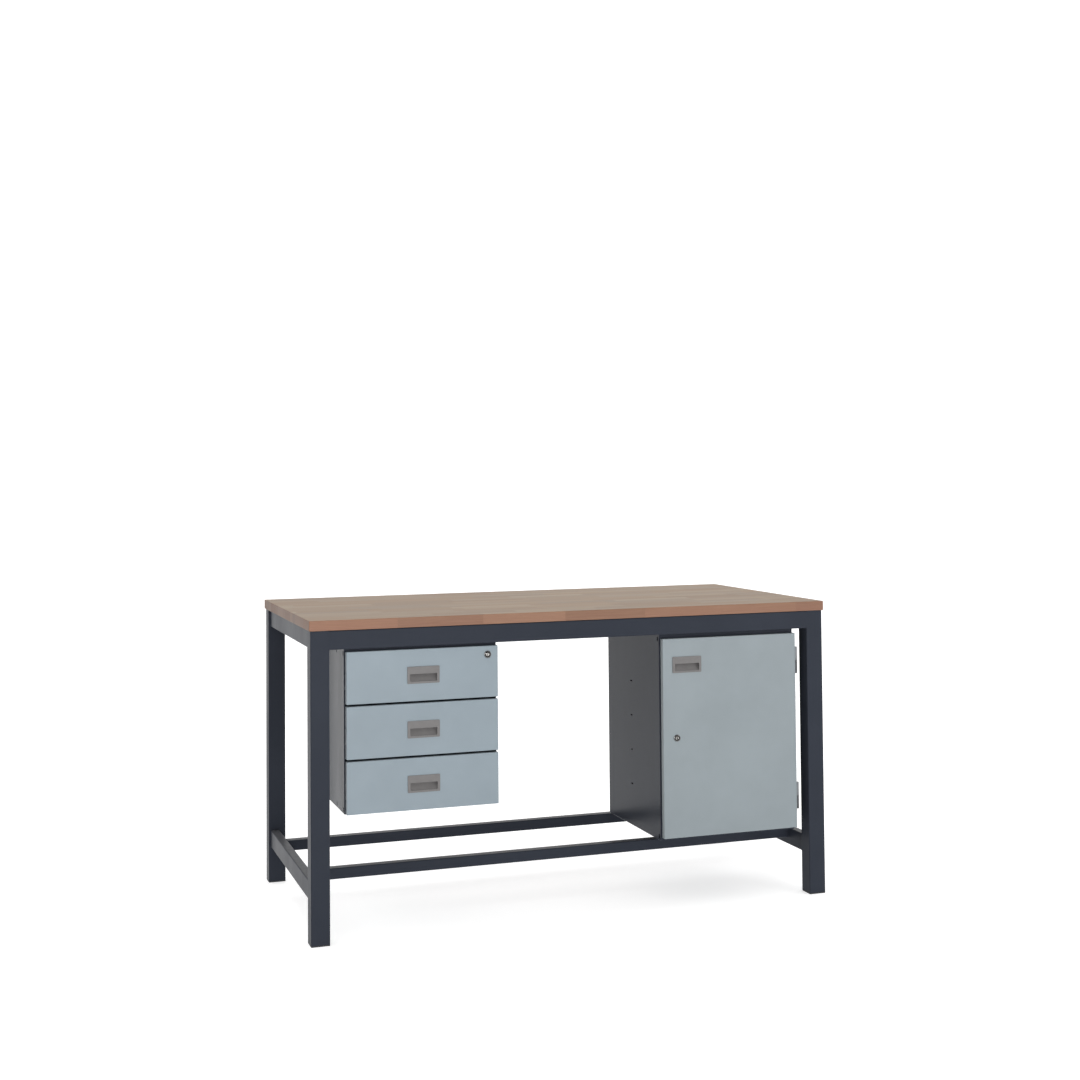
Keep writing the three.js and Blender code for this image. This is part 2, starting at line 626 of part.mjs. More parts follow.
function makeDoor() {
  const door = new THREE.Group();
  const pullX = -FRONT_WIDTH / 2 + DOOR_PULL_FROM_EDGE;
  const pullZ = DOOR_HEIGHT - DOOR_PULL_FROM_TOP;
  const lockX = -FRONT_WIDTH / 2 + DOOR_LOCK_FROM_EDGE;
  const lockZ = DOOR_HEIGHT / 2;
  const panel = panShape(DOOR_HEIGHT, pullCutout(pullX, pullZ), lockCutout(lockX, lockZ));
  door.add(piece("door_panel", panel, FRONT_PAINT));
  door.add(place(piece("door_pull", pullShape(), PULL_PLASTIC), pullX, 0, pullZ));
  door.add(place(makeLock("door_lock", -Math.PI / 2), lockX, 0, lockZ));
  return place(door, FRONT_CENTRE, 0, DOOR_BOTTOM);
}

function makeCupboard() {
  const unit = new THREE.Group();
  const carcass = piece("cupboard_carcass", cupboardCarcassShape(), CARCASS_PAINT);
  unit.add(place(carcass, 0, 0, CUPBOARD_BOTTOM));
  unit.add(makeShelf(), makeDoor(), makeHinges());
  return place(unit, CUPBOARD_CENTRE, FRONT_FACE_Y, 0);
}

// ---------------------------------------------------------------------------
// Bench
// ---------------------------------------------------------------------------

const bench = new THREE.Group();
bench.add(makeFrame());
bench.add(makeHangers("drawers", DRAWER_UNIT_CENTRE));
bench.add(makeHangers("cupboard", CUPBOARD_CENTRE));
bench.add(makeWorktop());
bench.add(makeDrawerUnit());
bench.add(makeCupboard());

export default bench;
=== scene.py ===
"""Looks of the workbench: a welded tube frame, a finger-jointed beech top, a hanging unit of three
drawers and a hanging cupboard. Metres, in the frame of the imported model: +X to the right, +Y to the
back, +Z up, origin on the floor under the middle of the worktop."""

import json
import math

import bmesh
import bpy
from mathutils import Matrix, Vector


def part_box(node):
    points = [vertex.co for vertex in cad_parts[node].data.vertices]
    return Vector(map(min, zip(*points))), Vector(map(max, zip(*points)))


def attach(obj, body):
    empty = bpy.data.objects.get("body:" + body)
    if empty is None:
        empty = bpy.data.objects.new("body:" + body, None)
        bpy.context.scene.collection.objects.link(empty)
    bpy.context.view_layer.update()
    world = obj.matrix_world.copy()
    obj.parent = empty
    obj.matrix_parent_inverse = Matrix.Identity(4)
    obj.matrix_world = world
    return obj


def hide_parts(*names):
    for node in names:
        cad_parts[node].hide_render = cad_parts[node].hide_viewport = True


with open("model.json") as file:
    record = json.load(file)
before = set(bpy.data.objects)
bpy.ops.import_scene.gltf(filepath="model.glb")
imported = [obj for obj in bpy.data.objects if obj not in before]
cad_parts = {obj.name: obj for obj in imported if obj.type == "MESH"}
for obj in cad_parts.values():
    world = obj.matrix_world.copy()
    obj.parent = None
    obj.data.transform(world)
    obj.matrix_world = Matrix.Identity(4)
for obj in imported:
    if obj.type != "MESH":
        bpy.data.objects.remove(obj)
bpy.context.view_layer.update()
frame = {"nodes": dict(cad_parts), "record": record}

NODES = frame["nodes"]
RECORD = frame["record"]
BODY_OF = {node: body for body, members in RECORD["behaviour"]["bodies"].items() for node in members}
SLOT_OF = {part["node"]: part["material_slot"] for part in RECORD["subparts"]}
DRAWERS = ("bottom", "middle", "top")
MM = 0.001

# Camera: place and turn in metres and degrees, and how far the picture is shifted off its axis
CAMERA_PLACE = (-1.499, -4.513, 1.232)
CAMERA_YAW = 19.21
CAMERA_PITCH = 2.05
CAMERA_ROLL = -0.485
CAMERA_LENS = 53.13
CAMERA_SHIFT = (-0.0178, -0.1195)

# Studio: a white room, bright behind and above the bench and dim behind the camera. The world's light
# rises from its darkest to its brightest as a direction turns towards the bright side, over the slope
BRIGHT_SIDE = (0.45, 0.8, 0.4)
WORLD_SLOPE = (-0.45, 0.75)
WORLD_DARKEST = 0.08
WORLD_BRIGHTEST = 1.1
OVERHEAD_STRENGTH = 1.5
OVERHEAD_SPREAD = 100.0
FLOOR_HALF_SIZE = 200.0
FLOOR_GLOW = 0.6
LAMP_TARGET = (0.0, 0.0, 0.5)
# Each soft box: name, place, size and power
SOFT_BOXES = (
    ("left", (-3.0, -3.6, 2.4), 1.8, 10.0),
    ("right", (3.4, -4.2, 1.5), 1.8, 60.0),
    ("front", (-1.2, -9.2, 1.05), 2.4, 390.0),
)

# Frame and worktop
TUBE_CORNER = 3.0 * MM
TUBE_WALL = 2.0 * MM
WELD_RADIUS = 2.2 * MM
WELD_INSET = 0.5 * MM
WELD_RIPPLE = 2.6 * MM
WELD_RING_STEP = 0.7 * MM
WORKTOP_EDGE = 1.8 * MM

# Folded sheet: the returns are the folded edges round a carcass's mouth, and the overcut is how far
# a cutter runs past the sheet
SHEET = 1.2 * MM
FOLD_RADIUS = 1.8 * MM
DRAWER_BOX_FOLD = 1.5 * MM
HEAD_RETURN = 16.0 * MM
FOOT_RETURN = 8.0 * MM
DRAWER_SIDE_RETURN = 3.0 * MM
CUPBOARD_SIDE_RETURN = 20.0 * MM
ROUND_STEPS = 5
OVERCUT = 10.0 * MM

# Slots through the carcass sides; each setback runs from the carcass's front edge to the slot's middle
SIDE_SLOT = {"length": 8.0 * MM, "height": 12.0 * MM, "corner": 2.5 * MM}
SIDE_SLOT_FROM_BOTTOM = 11.5 * MM
SIDE_SLOT_FROM_TOP = 14.5 * MM
FRONT_SLOT_SETBACK = 9.0 * MM
SECOND_SLOT_SETBACK = 94.0 * MM
SHELF_SLOT = {"length": 14.0 * MM, "height": 4.0 * MM, "corner": 1.9 * MM}
SHELF_SLOT_SETBACK = 212.0 * MM
SHELF_SLOT_HEIGHTS = (306.0 * MM, 406.0 * MM, 506.0 * MM, 606.0 * MM)

# Pulls: the cup and its window are set out from the pull's middle
PULL_RIM = 1.6 * MM
PULL_CUP_HALF = (39.5 * MM, 18.5 * MM)
PULL_CUP_WALL = 1.5 * MM
PULL_HOLLOW_START = 3.0 * MM
PULL_WINDOW_HALF_WIDTH = 37.0 * MM
PULL_WINDOW_BOTTOM = -17.0 * MM
PULL_WINDOW_TOP = 3.0 * MM
PULL_SLOPE_SHARE = 0.65

# Locks and hinges
LOCK_HOLE_RADIUS = 8.3 * MM
BARREL_RADIUS = 8.0 * MM
BARREL_RECESS = 4.0 * MM
BARREL_RECESS_RADIUS = 7.3 * MM
BARREL_BORE_RADIUS = 5.9 * MM
PLUG_RADIUS = 5.5 * MM
PLUG_TAIL_RADIUS = 3.7 * MM
PLUG_TAIL_LENGTH = 3.6 * MM
KEYWAY_HALF = (1.4 * MM, 3.6 * MM)
KEYWAY_DEPTH = 8.0 * MM
HINGE_LEAF = 2.0 * MM
HINGE_GAP = 0.3 * MM
HINGE_PIN_RADIUS = 2.0 * MM
HINGE_BORE_RADIUS = 2.3 * MM


# ---------------------------------------------------------------------------
# Materials
# ---------------------------------------------------------------------------

class Shader:
    """A material with one Principled surface, and short calls that add its nodes."""

    def __init__(self, name, **surface):
        self.material = bpy.data.materials.new(name)
        self.material.use_nodes = True
        self.tree = self.material.node_tree
        self.surface = self.tree.nodes["Principled BSDF"]
        self.place = self.tree.nodes.new("ShaderNodeTexCoord").outputs["Object"]
        for socket, value in surface.items():
            self.set(socket.replace("_", " "), value)

    def set(self, socket, value):
        self.feed(self.surface.inputs[socket], value)

    def feed(self, socket, value):
        if isinstance(value, bpy.types.NodeSocket):
            self.tree.links.new(value, socket)
        else:
            socket.default_value = value

    def node(self, kind, inputs, **settings):
        node = self.tree.nodes.new("ShaderNode" + kind)
        for name, value in settings.items():
            setattr(node, name, value)
        for name, value in inputs.items():
            self.feed(node.inputs[name], value)
        return node

    def math(self, operation, a, b=0.0, c=0.0):
        return self.node("Math", {0: a, 1: b, 2: c}, operation=operation).outputs[0]

    def stretched(self, x, y, z, vector=None):
        vector = vector or self.place
        return self.node("VectorMath", {0: vector, 1: (x, y, z)}, operation="MULTIPLY").outputs[0]

    def noise(self, vector, scale, detail=2.0, roughness=0.5):
        inputs = {"Vector": vector, "Scale": scale, "Detail": detail, "Roughness": roughness}
        return self.node("TexNoise", inputs).outputs["Fac"]

    def random(self, x, y):
        vector = self.node("CombineXYZ", {0: x, 1: y, 2: 0.0}).outputs[0]
        return self.node("TexWhiteNoise", {"Vector": vector}, noise_dimensions="3D").outputs["Value"]

    def remap(self, value, low, high, new_low, new_high):
        inputs = {"Value": value, 1: low, 2: high, 3: new_low, 4: new_high}
        return self.node("MapRange", inputs, clamp=True).outputs[0]

    def mix(self, factor, a, b, blend="MIX"):
        node = self.tree.nodes.new("ShaderNodeMix")
        node.data_type = "RGBA"
        node.blend_type = blend
        for index, value in ((0, factor), (6, a), (7, b)):
            self.feed(node.inputs[index], value)
        return node.outputs[2]

    def ramp(self, value, stops):
        node = self.node("ValToRGB", {"Fac": value})
        elements = node.color_ramp.elements
        while len(elements) < len(stops):
            elements.new(0.5)
        for element, (position, colour) in zip(elements, stops):
            element.position = position
            element.color = colour
        return node.outputs["Color"]

    def bump(self, height, distance, strength=1.0, below=None):
        inputs = {"Height": height, "Distance": distance, "Strength": strength}
        if below is not None:
            inputs["Normal"] = below
        return self.node("Bump", inputs).outputs["Normal"]


def rgb(red, green, blue):
    return (red, green, blue, 1.0)


def scaled(colour, factor):
    return rgb(*(channel * factor for channel in colour[:3]))


def powder_coat(name, colour, roughness, specular=0.5, door_lit_colour=None):
    """Baked powder paint: orange peel, soft mottling, and on what faces up a lighter grey that is partly
    settled dust, partly painted sheen.
    The second colour, mixed in towards +X on the cupboard, is painted light: a slightly warmer, greyer copy
    of the front colour that stands in for the light falling on the door."""
    shader = Shader(name, IOR=1.5, Specular_IOR_Level=specular)
    mottle = shader.noise(shader.place, 7.0, 3.0, 0.6)
    speck = shader.noise(shader.place, 1400.0, 1.0)
    tint = colour
    # Painted light: towards +X the colour turns into the door's copy, which stands in for the light on the
    # door.
    if door_lit_colour:
        x = shader.node("SeparateXYZ", {0: shader.place}).outputs["X"]
        tint = shader.mix(shader.remap(x, -0.1, 0.1, 0.0, 1.0), colour, door_lit_colour)
    pale = shader.mix(shader.remap(mottle, 0.3, 0.7, 0.0, 0.06), tint, rgb(1.0, 1.0, 1.0), "SCREEN")
    tint = shader.mix(shader.remap(mottle, 0.3, 0.7, 0.08, 0.0), tint, rgb(0.0, 0.0, 0.0))
    tint = shader.mix(shader.remap(speck, 0.62, 0.8, 0.0, 0.2), tint, pale)
    # Partly dust, partly painted sheen: what faces up turns a lighter grey, which also stands in for the
    # light grazing the tops of the tubes.
    upward = shader.node("SeparateXYZ", {0: shader.node("NewGeometry", {}).outputs["Normal"]}).outputs["Z"]
    dust_and_sheen_amount = shader.remap(shader.noise(shader.place, 45.0, 4.0, 0.7), 0.3, 0.7, 0.07, 0.13)
    dust_and_sheen = shader.math("MULTIPLY", shader.remap(upward, 0.75, 1.0, 0.0, 1.0), dust_and_sheen_amount)
    shader.set("Base Color", shader.mix(dust_and_sheen, tint, rgb(0.55, 0.54, 0.52)))
    smear = shader.noise(shader.stretched(3.0, 3.0, 1.0), 3.5, 4.0, 0.6)
    shader.set("Roughness", shader.remap(smear, 0.25, 0.75, roughness - 0.05, roughness + 0.06))
    peel = shader.bump(shader.noise(shader.place, 520.0, 2.0, 0.55), 0.05 * MM, 0.35)
    shader.set("Normal", peel)
    return shader.material


def moulded_plastic(name, colour, roughness):
    """Injection-moulded plastic with a fine spark-eroded texture."""
    shader = Shader(name, IOR=1.49)
    blotch = shader.noise(shader.place, 60.0, 3.0, 0.6)
    tint = shader.mix(shader.remap(blotch, 0.3, 0.7, 0.0, 1.0), scaled(colour, 0.92), scaled(colour, 1.06))
    shader.set("Base Color", tint)
    shader.set("Roughness", shader.remap(blotch, 0.3, 0.7, roughness - 0.04, roughness + 0.06))
    cells = shader.node("TexVoronoi", {"Vector": shader.place, "Scale": 2600.0}, feature="F1")
    shader.set("Normal", shader.bump(cells.outputs["Distance"], 0.03 * MM, 0.4))
    return shader.material


def bright_metal(name, colour, roughness, streak, bump=0.3):
    """Plated steel with faint drawing lines along Y and handling marks."""
    shader = Shader(name, Metallic=1.0)
    lines = shader.noise(shader.stretched(1.0, 0.04, 1.0), streak, 3.0, 0.7)
    cloud = shader.noise(shader.place, 90.0, 4.0, 0.6)
    tint = shader.mix(shader.remap(cloud, 0.3, 0.7, 0.0, 1.0), scaled(colour, 0.88), colour)
    shader.set("Base Color", tint)
    shader.set("Roughness", shader.remap(cloud, 0.25, 0.75, roughness * 0.8, roughness * 1.35))
    shader.set("Normal", shader.bump(lines, 0.01 * MM, bump))
    return shader.material


STAVE_WIDTH = 0.0417
STAVE_LENGTH = 0.235
STAVE_START_SEED = 66.25
STAVE_TONE_SEEDS = (272.0, 100.0)
FINGER_PITCH = 0.0042
FINGER_LENGTH = 0.009
GLUE_LINE = 0.0004
RING_CENTRE_HEIGHT = 0.9
RING_RADIANS_PER_METRE = 1500.0
# Painted sheen: the worktop's top is multiplied by this colour to a greyer tone that stands in for the pale
# light it reflects.
TOP_SHEEN_TINT = rgb(0.98, 1.27, 1.18)
END_TINT = rgb(0.65, 0.64, 0.56)
BEECH_TONES = (
    (0.0, rgb(0.125, 0.059, 0.035)),
    (0.35, rgb(0.170, 0.084, 0.048)),
    (0.7, rgb(0.205, 0.106, 0.062)),
    (1.0, rgb(0.242, 0.136, 0.086)),
)


def beech():
    """Staves glued side by side along X, finger jointed end to end, each with its own tone."""
    shader = Shader("beech_staves", IOR=1.45, Specular_IOR_Level=0.4)
    axes = shader.node("SeparateXYZ", {0: shader.place})
    x, y, z = (axes.outputs[name] for name in "XYZ")

    across = shader.math("DIVIDE", y, STAVE_WIDTH)
    row = shader.math("FLOOR", across)
    finger = shader.math("PINGPONG", shader.math("DIVIDE", y, FINGER_PITCH), 0.5)
    tooth = shader.math("MULTIPLY", finger, 2.0 * FINGER_LENGTH)
    start = shader.math("MULTIPLY", shader.random(row, STAVE_START_SEED), STAVE_LENGTH)
    along = shader.math("DIVIDE", shader.math("ADD", shader.math("ADD", x, tooth), start), STAVE_LENGTH)
    stave = shader.math("FLOOR", along)
    tone = shader.random(
        shader.math("ADD", row, STAVE_TONE_SEEDS[0]), shader.math("ADD", stave, STAVE_TONE_SEEDS[1]),
    )
    other = shader.random(stave, shader.math("ADD", row, 31.3))

    shift = shader.node("CombineXYZ", {0: shader.math("MULTIPLY", tone, 9.0), 1: other, 2: tone}).outputs[0]
    own = shader.node("VectorMath", {0: shader.place, 1: shift}, operation="ADD").outputs[0]
    bend = shader.noise(shader.stretched(2.2, 14.0, 14.0, own), 1.0, 3.0, 0.5)
    wander = shader.node("CombineXYZ", {0: 0.0, 1: bend, 2: bend}).outputs[0]
    drift = shader.stretched(0.0, 0.03, 0.03, wander)
    grown_at = shader.node("VectorMath", {0: own, 1: drift}, operation="ADD").outputs[0]
    from_heart = shader.node("SeparateXYZ", {0: grown_at})
    height = shader.math("ADD", from_heart.outputs["Z"], -RING_CENTRE_HEIGHT)
    squares = shader.math(
        "ADD", shader.math("POWER", from_heart.outputs["Y"], 2.0), shader.math("POWER", height, 2.0),
    )
    radius = shader.math("SQRT", squares)
    rings = shader.math("SINE", shader.math("MULTIPLY", radius, RING_RADIANS_PER_METRE))
    fibres = shader.noise(shader.stretched(12.0, 420.0, 420.0, own), 1.0, 4.0, 0.65)
    flecks = shader.noise(shader.stretched(260.0, 1900.0, 1900.0, own), 1.0, 1.0)
    figure = shader.noise(shader.stretched(3.0, 40.0, 40.0, own), 1.0, 3.0, 0.6)

    shade = shader.math("ADD", shader.math("MULTIPLY", tone, 0.62), shader.math("MULTIPLY", figure, 0.38))
    colour = shader.ramp(shade, BEECH_TONES)
    pink = shader.remap(other, 0.0, 1.0, 0.0, 0.35)
    colour = shader.mix(pink, colour, rgb(0.245, 0.105, 0.066))
    colour = shader.mix(shader.remap(rings, -1.0, 1.0, 0.0, 0.13), colour, rgb(0.11, 0.052, 0.030))
    colour = shader.mix(shader.remap(fibres, 0.35, 0.75, 0.0, 0.22), colour, rgb(0.34, 0.21, 0.14))
    colour = shader.mix(shader.remap(flecks, 0.66, 0.74, 0.0, 0.4), colour, rgb(0.10, 0.046, 0.028))

    side_gap = shader.math("ABSOLUTE", shader.math("SUBTRACT", shader.math("FRACT", across), 0.5))
    end_gap = shader.math("ABSOLUTE", shader.math("SUBTRACT", shader.math("FRACT", along), 0.5))
    side_line = shader.remap(side_gap, 0.5 - GLUE_LINE / STAVE_WIDTH, 0.5, 0.0, 1.0)
    end_line = shader.remap(end_gap, 0.5 - GLUE_LINE / STAVE_LENGTH, 0.5, 0.0, 1.0)
    glue = shader.math("MAXIMUM", side_line, end_line)
    colour = shader.mix(shader.math("MULTIPLY", glue, 0.45), colour, rgb(0.085, 0.042, 0.026))
    normal = shader.node("SeparateXYZ", {0: shader.node("NewGeometry", {}).outputs["Normal"]})
    on_end = shader.math("ABSOLUTE", normal.outputs["X"])
    colour = shader.mix(shader.remap(on_end, 0.6, 0.95, 0.0, 1.0), colour, END_TINT, "MULTIPLY")
    # Painted sheen: faces that look up are turned greyer, standing in for the light the top reflects.
    top_sheen_mask = shader.remap(normal.outputs["Z"], 0.6, 0.95, 0.0, 1.0)
    shader.set("Base Color", shader.mix(top_sheen_mask, colour, TOP_SHEEN_TINT, "MULTIPLY"))
    dryness = shader.math("ADD", fibres, shader.math("MULTIPLY", other, 0.3))
    shader.set("Roughness", shader.remap(dryness, 0.3, 1.0, 0.42, 0.58))
    pores = shader.bump(flecks, 0.06 * MM, 0.35)
    relief = shader.bump(fibres, 0.05 * MM, 0.35, below=pores)
    shader.set("Normal", shader.bump(shader.math("SUBTRACT", 1.0, glue), 0.08 * MM, 0.5, below=relief))
    return shader.material


def pale_floor():
    shader = Shader("pale_floor", Specular_IOR_Level=0.2)
    cloud = shader.noise(shader.place, 1.5, 4.0, 0.6)
    shader.set("Base Color", shader.mix(cloud, rgb(0.60, 0.60, 0.60), rgb(0.64, 0.64, 0.64)))
    shader.set("Roughness", shader.remap(cloud, 0.3, 0.7, 0.65, 0.75))
    shader.set("Emission Color", rgb(1.0, 1.0, 1.0))
    shader.set("Emission Strength", FLOOR_GLOW)
    return shader.material


FRONT_COLOUR = rgb(0.187, 0.228, 0.257)
# Painted light: the door's warmer, greyer copy of the front colour, standing in for the light on the door.
DOOR_LIT_COLOUR = rgb(0.189, 0.219, 0.234)
PAINT_FRAME = powder_coat("frame_powder_coat", rgb(0.025, 0.029, 0.039), 0.36, 0.05)
PAINT_CARCASS = powder_coat("carcass_powder_coat", rgb(0.024, 0.028, 0.038), 0.22, 0.06)
PAINT_FRONT = powder_coat("front_powder_coat", FRONT_COLOUR, 0.42, 0.4, DOOR_LIT_COLOUR)
BEECH = beech()
PULL = moulded_plastic("pull_plastic", rgb(0.108, 0.103, 0.102), 0.45)
BLACK_PLASTIC = moulded_plastic("foot_plastic", rgb(0.014, 0.014, 0.016), 0.5)
ZINC = bright_metal("zinc_plate", rgb(0.52, 0.53, 0.54), 0.32, 900.0)
CHROME = bright_metal("chrome_plate", rgb(0.15, 0.15, 0.15), 0.12, 1800.0, 0.15)
PLUG_STEEL = bright_metal("lock_plug_steel", rgb(0.29, 0.285, 0.275), 0.2, 1800.0, 0.15)
HINGE_LOOKS = {
    "door": bright_metal("hinge_steel", rgb(0.17, 0.18, 0.19), 0.42, 900.0),
    "frame": bright_metal("hinge_dark_steel", rgb(0.065, 0.065, 0.070), 0.42, 900.0),
}

LOOK_OF_SLOT = {
    "frame_paint": PAINT_FRAME,
    "carcass_paint": PAINT_CARCASS,
    "front_paint": PAINT_FRONT,
    "beech": BEECH,
    "pull_plastic": PULL,
    "foot_plastic": BLACK_PLASTIC,
    "zinc_steel": ZINC,
    "chrome": CHROME,
}
for node_name, node in NODES.items():
    for material_slot in node.material_slots:
        material_slot.material = LOOK_OF_SLOT[SLOT_OF[node_name]]


# ---------------------------------------------------------------------------
# Mesh building
# ---------------------------------------------------------------------------

def new_object(name, mesh):
    obj = bpy.data.objects.new(name, mesh)
    bpy.context.scene.collection.objects.link(obj)
    return obj


def from_bmesh(name, bm):
    mesh = bpy.data.meshes.new(name)
    bmesh.ops.recalc_face_normals(bm, faces=bm.faces)
    bm.to_mesh(mesh)
    bm.free()
    return new_object(name, mesh)


def apply_modifiers(obj):
    graph = bpy.context.evaluated_depsgraph_get()
    mesh = bpy.data.meshes.new_from_object(obj.evaluated_get(graph))
    obj.modifiers.clear()
    obj.data = mesh


def combine(obj, tools, operation):
    """Joins or cuts the object with closed tools, which are used up."""
    for tool in tools:
        modifier = obj.modifiers.new(operation, "BOOLEAN")
        modifier.operation = operation
        modifier.solver = "EXACT"
        modifier.object = tool
        apply_modifiers(obj)
        bpy.data.objects.remove(tool)
    return obj


def soften(obj, width, steps=2, angle=40.0):
    """Rounds every edge sharper than the angle."""
    modifier = obj.modifiers.new("soften", "BEVEL")
    modifier.width = width
    modifier.segments = steps
    modifier.limit_method = "ANGLE"
    modifier.angle_limit = math.radians(angle)
    apply_modifiers(obj)
    return obj


def shade(obj, angle=35.0):
    """Smooth shading that keeps flat faces flat."""
    obj.data.polygons.foreach_set("use_smooth", [True] * len(obj.data.polygons))
    obj.data.set_sharp_from_angle(angle=math.radians(angle))
    modifier = obj.modifiers.new("normals", "WEIGHTED_NORMAL")
    modifier.keep_sharp = True
    apply_modifiers(obj)
    return obj


def finish_piece(obj, material, body, replaced=()):
    shade(obj)
    obj.data.materials.clear()
    obj.data.materials.append(material)
    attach(obj, body)
    if replaced:
        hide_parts(*replaced)
    return obj


def stand_for(obj, node_name, material=None):
    """Finishes a piece that takes the place of one CAD node, with that node's body and slot."""
    slot = SLOT_OF[node_name]
    return finish_piece(obj, material or LOOK_OF_SLOT[slot], BODY_OF[node_name], (node_name,))


def box_mesh(name, low, high, radius=0.0, steps=ROUND_STEPS, axes="XYZ"):
    """A box with the edges that run along the named axes rounded."""
    bm = bmesh.new()
    bmesh.ops.create_cube(bm, size=1.0)
    low, high = Vector(low), Vector(high)
    size = high - low
    middle = (low + high) / 2
    for vert in bm.verts:
        vert.co = Vector(middle[i] + vert.co[i] * size[i] for i in range(3))
    if radius > 0.0:
        chosen = [
            edge for edge in bm.edges
            if "XYZ"[max(range(3), key=lambda i: abs((edge.verts[0].co - edge.verts[1].co)[i]))] in axes
        ]
        bmesh.ops.bevel(bm, geom=chosen, offset=radius, segments=steps, profile=0.5, affect="EDGES")
    return from_bmesh(name, bm)


def cylinder_mesh(name, centre, axis, radius, length, steps=32):
    """A closed round bar centred on a point."""
    bm = bmesh.new()
    bmesh.ops.create_cone(bm, cap_ends=True, segments=steps, radius1=radius, radius2=radius, depth=length)
    turn = Vector((0, 0, 1)).rotation_difference(Vector(axis)).to_matrix().to_4x4()
    bm.transform(Matrix.Translation(centre) @ turn)
    return from_bmesh(name, bm)


def lathe_mesh(name, centre, profile, steps=48):
    """A closed solid turned about an axis along Y. The profile lists (y, radius) from axis to axis."""
    bm = bmesh.new()
    verts = [bm.verts.new((radius, y, 0.0)) for y, radius in profile]
    edges = [bm.edges.new(pair) for pair in zip(verts, verts[1:])]
    bmesh.ops.spin(
        bm, geom=verts + edges, cent=(0, 0, 0), axis=(0, 1, 0),
        angle=2 * math.pi, steps=steps, use_merge=True,
    )
    bmesh.ops.remove_doubles(bm, verts=bm.verts, dist=1e-6)
    bm.transform(Matrix.Translation(centre))
    return from_bmesh(name, bm)


def centre_of(node_name):
    low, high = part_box(node_name)
    return (Vector(low) + Vector(high)) / 2


def grown(corner, amounts):
    return Vector(corner[i] + amounts[i] for i in range(3))


# ---------------------------------------------------------------------------
# Frame
# ---------------------------------------------------------------------------

def tube_for(node_name):
    """A drawn tube with rounded corners and open ends, in the place of a CAD tube."""
    low, high = (Vector(corner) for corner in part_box(node_name))
    size = high - low
    axis = max(range(3), key=lambda i: size[i])
    letter = "XYZ"[axis]
    tube = box_mesh(node_name + "_tube", low, high, TUBE_CORNER, ROUND_STEPS, letter)
    inset = [TUBE_WALL] * 3
    inset[axis] = -TUBE_WALL
    bore_low = grown(low, inset)
    bore_high = grown(high, [-amount for amount in inset])
    bore = box_mesh("bore", bore_low, bore_high, TUBE_CORNER - TUBE_WALL, 3, letter)
    combine(tube, [bore], "DIFFERENCE")
    return stand_for(tube, node_name)


def weld_bead(name, start, end, outward):
    """A rippled bead along the corner between two tubes; outward points out of the corner."""
    start, end, outward = Vector(start), Vector(end), Vector(outward).normalized()
    along = end - start
    length = along.length
    along.normalize()
    side = along.cross(outward).normalized()
    rings = max(8, int(length / WELD_RING_STEP))
    points = 8
    bm = bmesh.new()
    previous = None
    for i in range(rings + 1):
        t = i / rings
        ripple = 0.86 + 0.14 * math.sin(t * length / WELD_RIPPLE * 2 * math.pi)
        taper = min(1.0, 0.35 + 12.0 * min(t, 1.0 - t))
        radius = WELD_RADIUS * ripple * taper
        ring = []
        for k in range(points):
            angle = 2 * math.pi * k / points
            offset = outward * math.cos(angle) * radius + side * math.sin(angle) * radius
            ring.append(bm.verts.new(start + along * (length * t) + offset))
        if previous:
            for k in range(points):
                bm.faces.new((previous[k], previous[(k + 1) % points], ring[(k + 1) % points], ring[k]))
        else:
            bm.faces.new(ring)
        previous = ring
    bm.faces.new(reversed(previous))
    return finish_piece(from_bmesh(name, bm), PAINT_FRAME, "bench")


def ground_weld(name, leg_x, low, high, y_sign):
    """The upright weld between a leg and a long top rail, ground nearly flush with their outer faces."""
    face = low[1] if y_sign < 0 else high[1]
    reach = TUBE_CORNER
    y_ends = sorted((face + y_sign * 0.1 * MM, face - y_sign * 2.5 * MM))
    weld = box_mesh(
        name,
        (leg_x - reach, y_ends[0], low[2] + reach),
        (leg_x + reach, y_ends[1], high[2] - reach), 0.4 * MM, 3,
    )
    finish_piece(weld, PAINT_FRAME, "bench")


